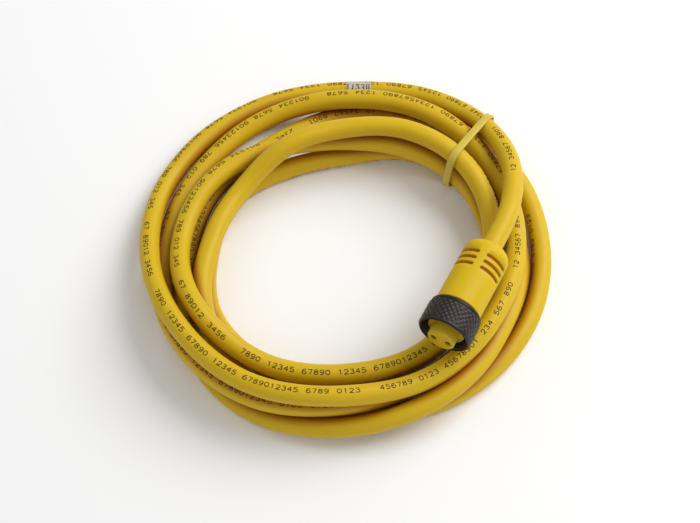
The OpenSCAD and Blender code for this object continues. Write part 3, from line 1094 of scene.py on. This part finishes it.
class CORD_OT_nut(PieceOperator, bpy.types.Operator):
    """Makes the coupling nut with its diamond knurl and inner thread"""

    bl_idname = "cord.nut"
    bl_label = "Coupling nut"

    samples = 6
    lip_front = 10.9
    knurl_front, knurl_to_back = 1.1, 2.3
    knurl_fade = 0.3
    mouth_r = 11.1
    lip_r = 8.4
    thread_r, thread_depth = 10.325, 0.78
    rows_per_thread = 8

    def build(self, sizes):
        radius = sizes.nut_d / 2 / MM
        long = sizes.nut_length / MM
        pitch = sizes.knurl_pitch / MM
        depth = sizes.knurl_depth / MM
        around = round(2 * math.pi * radius / pitch)
        columns = around * self.samples

        def off_groove(u):
            return abs(u - round(u)) * 2

        def tip(angle, z):
            u = angle * around / (2 * math.pi)
            v = z / pitch
            return min(off_groove(u / 2 + v / 2), off_groove(u / 2 - v / 2))

        knurl_front, knurl_back = self.knurl_front, long - self.knurl_to_back
        rows = round((knurl_back - knurl_front) / pitch * self.samples)
        knurl = [
            knurl_front + (knurl_back - knurl_front) * k / rows for k in range(rows + 1)
        ]
        outline = [(self.mouth_r, 0), (radius - 1, 0), (radius - 0.7, 0.12)]
        outline += [(radius - 0.1, 0.9)]
        for z in knurl:
            fade = min(1, min(z - knurl_front, knurl_back - z) / self.knurl_fade)
            outline.append(
                (lambda a, z=z, fade=fade: radius - depth * (1 - tip(a, z) * fade), z)
            )
        edge = radius - 0.5
        lip, lip_front = self.lip_r, self.lip_front
        outline += [
            (edge - 0.15, long - 2.1), (edge - 0.15, long - 1.9), (edge, long - 1.7),
            (edge, long - 1.1), (edge - 0.1, long - 0.6), (edge - 0.4, long - 0.2),
            (edge - 0.9, long), (lip + 0.4, long), (lip, long - 0.4), (lip, lip_front),
            (lip + 2, lip_front), (lip + 2.5, lip_front - 0.3),
        ]
        thread_pitch = sizes.thread_pitch / MM

        def thread(angle, z):
            groove = off_groove(z / thread_pitch - angle / (2 * math.pi))
            return self.thread_r + self.thread_depth * (1 - groove)

        back = self.lip_front - 0.5
        count = int(back / thread_pitch * self.rows_per_thread)
        for k in range(count + 1):
            z = back - k * (back - 0.5) / count
            outline.append((lambda a, z=z: thread(a, z), z))
        mesh = turned("nut_cover", outline, columns, True)
        nut = finished("nut_cover", mesh, "nut", NUT_BODY)
        # How near each point is to a knurl tip, for the wear
        keep_on_points(mesh, "tip", lambda r, z: (r - radius + depth) / depth)
        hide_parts("coupling_nut")


class CORD_OT_insert(PieceOperator, bpy.types.Operator):
    """Makes the contact insert with its nose, keyway and flange"""

    bl_idname = "cord.insert"
    bl_label = "Contact insert"

    pole_x = 3.5
    hole_r = 1.6
    contact_hole_r = 2.05
    nose_r, nose_round = 6.5, 0.6
    keyway_x, keyway_r = 6.75, 1
    flange_front, flange_r = 2.6, 8.7
    collar_front, collar_back = 7.6, 10.1
    collar_r, collar_chamfer = 9.8, 0.3
    back, tail_r = 15.7, 8.1

    def build(self, sizes):
        flange, edge = self.flange_front, self.nose_round
        outline = [(0, NOSE_FRONT)]
        outline += fillet((self.nose_r - edge, NOSE_FRONT + edge), edge, -90, 0)
        # A shallow groove runs round the nose in the flange's face
        outline += [(self.nose_r, flange), (6.6, flange + 0.35), (6.8, flange + 0.45)]
        outline += [(7.8, flange + 0.45), (8, flange + 0.3), (8.05, flange)]
        outline += fillet((self.flange_r - 0.25, flange + 0.25), 0.25, -90, 0, 3)
        r, front, back = self.collar_r, self.collar_front, self.collar_back
        chamfer = self.collar_chamfer
        outline += [
            (self.flange_r, front), (r - chamfer, front), (r, front + chamfer),
            (r, back - chamfer), (r - chamfer, back), (self.tail_r, back),
        ]
        outline += [(self.tail_r, self.back), (0, self.back)]
        body = turned("insert", outline, 128, False)
        mesh = cut(body, joined("cutter", [self.hole(-1), self.hole(1), self.keyway()]))
        insert = finished("insert_cover", mesh, "insert", sharp=35)
        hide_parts("contact_insert")

    def hole(self, side):
        step = NOSE_FRONT + 0.98
        outline = [
            (0, NOSE_FRONT - 1), (self.hole_r + 0.5, NOSE_FRONT - 1),
            (self.hole_r, NOSE_FRONT + 0.3), (self.hole_r, step),
            (self.contact_hole_r, step), (self.contact_hole_r, self.back + 1),
            (0, self.back + 1),
        ]
        mesh = turned("hole", outline, 48, False)
        across = CONNECTOR_PLACE.to_3x3() @ Vector((side * self.pole_x * MM, 0, 0))
        mesh.transform(Matrix.Translation(across))
        return mesh

    def keyway(self):
        """A groove with a round bottom on the nose's left edge."""
        r, outside = self.keyway_r, -self.nose_r - 1.5
        bottom = fillet((-self.keyway_x, 0), r, 90, -90, 10)
        left = [(outside, r), *bottom, (outside, -r)]
        ends = [
            CONNECTOR_PLACE @ (Vector((x, y, z)) * MM)
            for z in (NOSE_FRONT - 1, self.flange_front + 0.4)
            for x, y in left
        ]
        count = len(left)
        faces = grid_faces(2, count, False, True)
        faces += [tuple(range(count)), tuple(range(count, 2 * count))]
        return from_lists("keyway", ends, faces)


class CORD_OT_tie(PieceOperator, bpy.types.Operator):
    """Makes the cable tie round the strands, with its head and trimmed tail"""

    bl_idname = "cord.tie"
    bl_label = "Cable tie"

    head = (4, 4.8, 4.4)
    head_gap, head_bevel = 0.3, 0.6
    rim_depth, rim_out = 2.2, 0.25
    tail_length = 3
    tooth_pitch, tooth_depth = 1.1, 0.12
    first_guess = 42

    def crossing(self, turn, aside=0):
        """Where a turn passes the tie's plane, or one moved aside, in millimetres: how far
        out, how high, and how much longer than round its section is there."""
        angle = self.first_guess
        for _ in range(5):
            place = ring_chord(360 * turn + angle) - COIL_CENTRE
            radius = math.hypot(place.x, place.y)
            slant = math.asin((TIE_OFFSET + aside) / radius)
            angle = math.degrees(TIE_HEADING - slant)
        return radius * math.cos(slant), place.z, 1 / math.cos(slant)

    def in_plane(self, radius, height, across=0):
        """A point of the tie's plane, or beside it, in metres."""
        out = Vector((math.cos(TIE_HEADING), math.sin(TIE_HEADING), 0))
        aside = Vector((out.y, -out.x, 0)) * (TIE_OFFSET + across)
        point = COIL_CENTRE + out * radius + aside + UP * height
        return Vector((point.x, point.y, max(point.z, 0.02))) * MM

    def build(self, sizes):
        thick, wide = sizes.tie_thickness / MM, sizes.tie_width / MM
        reach = CORD_D / 2 + TIE_GAP
        points = []
        for turn in range(len(COIL_TURNS)):
            for edge in (-0.5, 0.5):
                far, high, stretch = self.crossing(turn, edge * wide)
                points += [(far + x * stretch, high + z) for x, z in circle(reach, 40)]
        inside = evenly(around_hull(points), self.tooth_pitch)
        # The section: ridged on the inside, its outer edges rounded off
        section = [
            (0, wide / 2 - 0.2), (0.2, wide / 2), (thick - 0.35, wide / 2),
            (thick - 0.1, wide / 2 - 0.12), (thick, wide / 2 - 0.4),
        ]
        section += [(out, -across) for out, across in reversed(section)]
        vertices = []
        for i, (radius, height) in enumerate(inside):
            before, after = inside[i - 1], inside[(i + 1) % len(inside)]
            size = math.dist(before, after)
            nx, ny = (after[1] - before[1]) / size, -(after[0] - before[0]) / size
            groove = self.tooth_depth if i % 2 else 0
            for k, (out, across) in enumerate(section):
                out += groove if k in (0, len(section) - 1) else 0
                vertices.append(self.in_plane(radius + nx * out, height + ny * out, across))
        strap = from_lists(
            "strap", vertices, grid_faces(len(inside), len(section), True, True)
        )
        mesh = joined("tie_cover", [strap, *self.head_parts(reach, thick, wide)])
        tie = finished("tie_cover", mesh, "tie", sharp=40)
        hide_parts("cable_tie")

    def head_parts(self, reach, thick, wide):
        """The head low on the outer side, and the trimmed tail that comes out of it."""
        outer, under = self.crossing(0), self.crossing(4)
        lean = math.atan2(outer[0] - under[0], outer[1] - under[1])
        start = [low + (high - low) / 3 for low, high in zip(under[:2], outer)]

        def placed(size, middle, bevel):
            mesh = soft_box([v * MM for v in size], bevel * MM)
            for vertex in mesh.vertices:
                x, y, across = (v / MM + m for v, m in zip(vertex.co, (*middle, 0)))
                vertex.co = self.in_plane(
                    start[0] + x * math.cos(lean) + y * math.sin(lean),
                    start[1] - x * math.sin(lean) + y * math.cos(lean),
                    across,
                )
            return mesh

        middle = reach + self.head_gap + self.head[0] / 2
        side = self.head[1] / 2
        rim = (self.rim_depth, 2 * (side + self.rim_out), wide - 0.6)
        tail = (thick, self.tail_length, wide - 0.2)
        return [
            placed(self.head, (middle, 0), self.head_bevel),
            placed(rim, (middle + 0.4, 0), 0.25),
            placed(tail, (middle, side + 1.2), 0.2),
        ]


class CORD_OT_marker(PieceOperator, bpy.types.Operator):
    """Makes the marker wrapped round the outermost turn, with plain figures"""

    bl_idname = "cord.marker"
    bl_label = "Marker"

    outer, inner, lap = 5.1, 4.82, 0.16
    figure_size = (1.7, 3.2)
    figures_at = ((2.2, 1), (4.6, 2), (7.0, 3))
    bars_at, bar_half = (0.7, 9.9, 11), 2.2
    ink_width, stroke_step = 0.5, 0.4
    print_lean = 8

    def build(self, sizes):
        first, last = on_coil(MARKER_FROM), on_coil(MARKER_TO)
        self.ahead = (last - first).normalized()
        self.end = last - self.ahead
        self.side = self.ahead.cross(UP).normalized()
        self.over = self.side.cross(self.ahead)
        long, columns = MARKER_LENGTH, 64
        rows = [(self.inner, 0), (self.outer - 0.1, 0), (self.outer, 0.1)]
        rows += [(self.outer, long * k / 6) for k in range(1, 6)]
        rows += [(self.outer, long - 0.1), (self.outer - 0.1, long), (self.inner, long)]
        vertices = [
            self.place(
                long - z,
                360 * k / columns,
                r - (self.lap * k / columns if r > self.inner else 0),
            )
            for r, z in rows
            for k in range(columns)
        ]
        mesh = from_lists("marker_cover", vertices, grid_faces(len(rows), columns, True, True))
        marker = finished("marker_cover", mesh, "marker", sharp=35)
        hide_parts("marker_sleeve")
        self.print_figures(marker)

    def place(self, back, angle, radius):
        """A point by its distance back from the sleeve's end, angle from the top, radius."""
        turned_by = math.radians(angle)
        point = self.end - self.ahead * back
        point += radius * (self.over * math.cos(turned_by) - self.side * math.sin(turned_by))
        return Vector((point.x, point.y, max(point.z, 0.02))) * MM

    def print_figures(self, marker):
        vertices, faces = [], []
        wide, high = self.figure_size
        strokes = [
            [(x * wide + start, (y - 0.5) * high) for x, y in stroke]
            for start, figure in self.figures_at
            for stroke in FIGURES[figure]
        ]
        strokes += [[(x, -self.bar_half), (x, self.bar_half)] for x in self.bars_at]

        def on_marker(x, y):
            angle = math.degrees(y / self.outer) + self.print_lean
            return self.place(x, angle, self.outer + 0.1)

        for stroke in strokes:
            points = fine_line(stroke, self.stroke_step)
            ribbon(vertices, faces, points, self.ink_width, on_marker)
        mesh = bpy.data.meshes.new("marker_print")
        mesh.from_pydata(vertices, [], [face[::-1] for face in faces])
        figures = finished("marker_print", mesh, "ink")
        lay_on(figures, marker)


class CORD_OT_leads(PieceOperator, bpy.types.Operator):
    """Makes the two stripped leads at the free end, with twisted copper"""

    bl_idname = "cord.leads"
    bl_label = "Free end"

    def lead_path(self, side, first, last):
        """The middle of a lead between two distances from the jacket's end."""
        end, before = on_coil(COIL_END), on_coil(COIL_END - 15)
        ahead = (end - before).normalized()
        left = Vector((-ahead.y, ahead.x, 0))
        middle = end + ahead * 0.05 + left * LEAD_BEND
        radius = LEAD_BEND + side * WIRE_X
        steps = 24
        out = []
        for k in range(steps + 1):
            angle = (first + (last - first) * k / steps) / LEAD_BEND
            way = ahead * math.sin(angle) - left * math.cos(angle)
            out.append((middle + radius * way) * MM)
        return out

    def build(self, sizes):
        tree = strand_tree()
        for side, colour_name in ((-1, "black"), (1, "white")):
            path = self.lead_path(side, 0, LEAD_LENGTH)
            mesh = swept(f"{colour_name}_lead_cover", path, circle(WIRE_R * MM, 28))
            lead = finished(mesh.name, mesh, f"wire_{colour_name}", sharp=40)
            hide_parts(f"{colour_name}_lead")
            path = self.lead_path(side, LEAD_LENGTH - 2, LEAD_LENGTH + BARE_LENGTH)
            values = {
                "Bundle radius": STRANDS_R * MM,
                "Strand radius": STRANDS_R / 3 * MM,
                "Strands": 6,
                "Twist": 4.5,
                "Material": Materials.get("copper"),
            }
            copper = along_line(f"{colour_name}_copper", path, tree, values)
            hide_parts(f"{colour_name}_lead_strands")


class CORD_OT_free_cord(PieceOperator, bpy.types.Operator):
    bl_idname = "cord.free_cord"
    bl_label = "Free cord"

    on_it = (
        "jacket_print", "marker_cover", "marker_print", "tie_cover", "black_lead_cover",
        "white_lead_cover", "black_copper", "white_copper",
    )

    def build(self, sizes):
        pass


class CORD_OT_connector_core(PieceOperator, bpy.types.Operator):
    """Gives the contacts and the hidden pieces their finishes"""

    bl_idname = "cord.connector_core"
    bl_label = "Connector core"

    finishes = {
        "inner_mould": "inner_mould",
        "socket_contact_left": "contact",
        "socket_contact_right": "contact",
        "black_wire": "wire_black",
        "white_wire": "wire_white",
        "black_wire_strands": "copper",
        "white_wire_strands": "copper",
        "jacket_in_grip": "jacket",
        "filler_upper": "filler",
        "filler_lower": "filler",
    }

    def build(self, sizes):
        for name, finish in self.finishes.items():
            solid = frame["nodes"][name]
            solid.data.materials.clear()
            solid.data.materials.append(Materials.get(finish))


CLASSES = (
    CordSizes,
    CordLook,
    CORD_OT_stage,
    CORD_OT_cord,
    CORD_OT_print,
    CORD_OT_grip,
    CORD_OT_nut,
    CORD_OT_insert,
    CORD_OT_connector_core,
    CORD_OT_marker,
    CORD_OT_tie,
    CORD_OT_leads,
    CORD_OT_free_cord,
)


class CORD_PT_panel(bpy.types.Panel):
    """Sizes, colours and pieces of the cord"""

    bl_idname = "CORD_PT_panel"
    bl_label = "Coiled power cord"
    bl_space_type = "VIEW_3D"
    bl_region_type = "UI"
    bl_category = "Cord"

    def draw(self, context):
        layout = self.layout
        for group in (context.scene.cord_sizes, context.scene.cord_look):
            box = layout.box()
            for name in group.__annotations__:
                box.prop(group, name)
        for operator in CLASSES:
            if issubclass(operator, bpy.types.Operator):
                layout.operator(operator.bl_idname)


def register():
    for item in (*CLASSES, CORD_PT_panel):
        bpy.utils.register_class(item)
    bpy.types.Scene.cord_sizes = bpy.props.PointerProperty(type=CordSizes)
    bpy.types.Scene.cord_look = bpy.props.PointerProperty(type=CordLook)


def unregister():
    del bpy.types.Scene.cord_look
    del bpy.types.Scene.cord_sizes
    for item in reversed((*CLASSES, CORD_PT_panel)):
        bpy.utils.unregister_class(item)


def main():
    register()
    bpy.ops.cord.stage()
    bpy.ops.cord.cord()
    bpy.ops.cord.print()
    bpy.ops.cord.grip()
    bpy.ops.cord.nut()
    bpy.ops.cord.insert()
    bpy.ops.cord.connector_core()
    bpy.ops.cord.marker()
    bpy.ops.cord.tie()
    bpy.ops.cord.leads()
    bpy.ops.cord.free_cord()


if __name__ == "__main__":
    main()
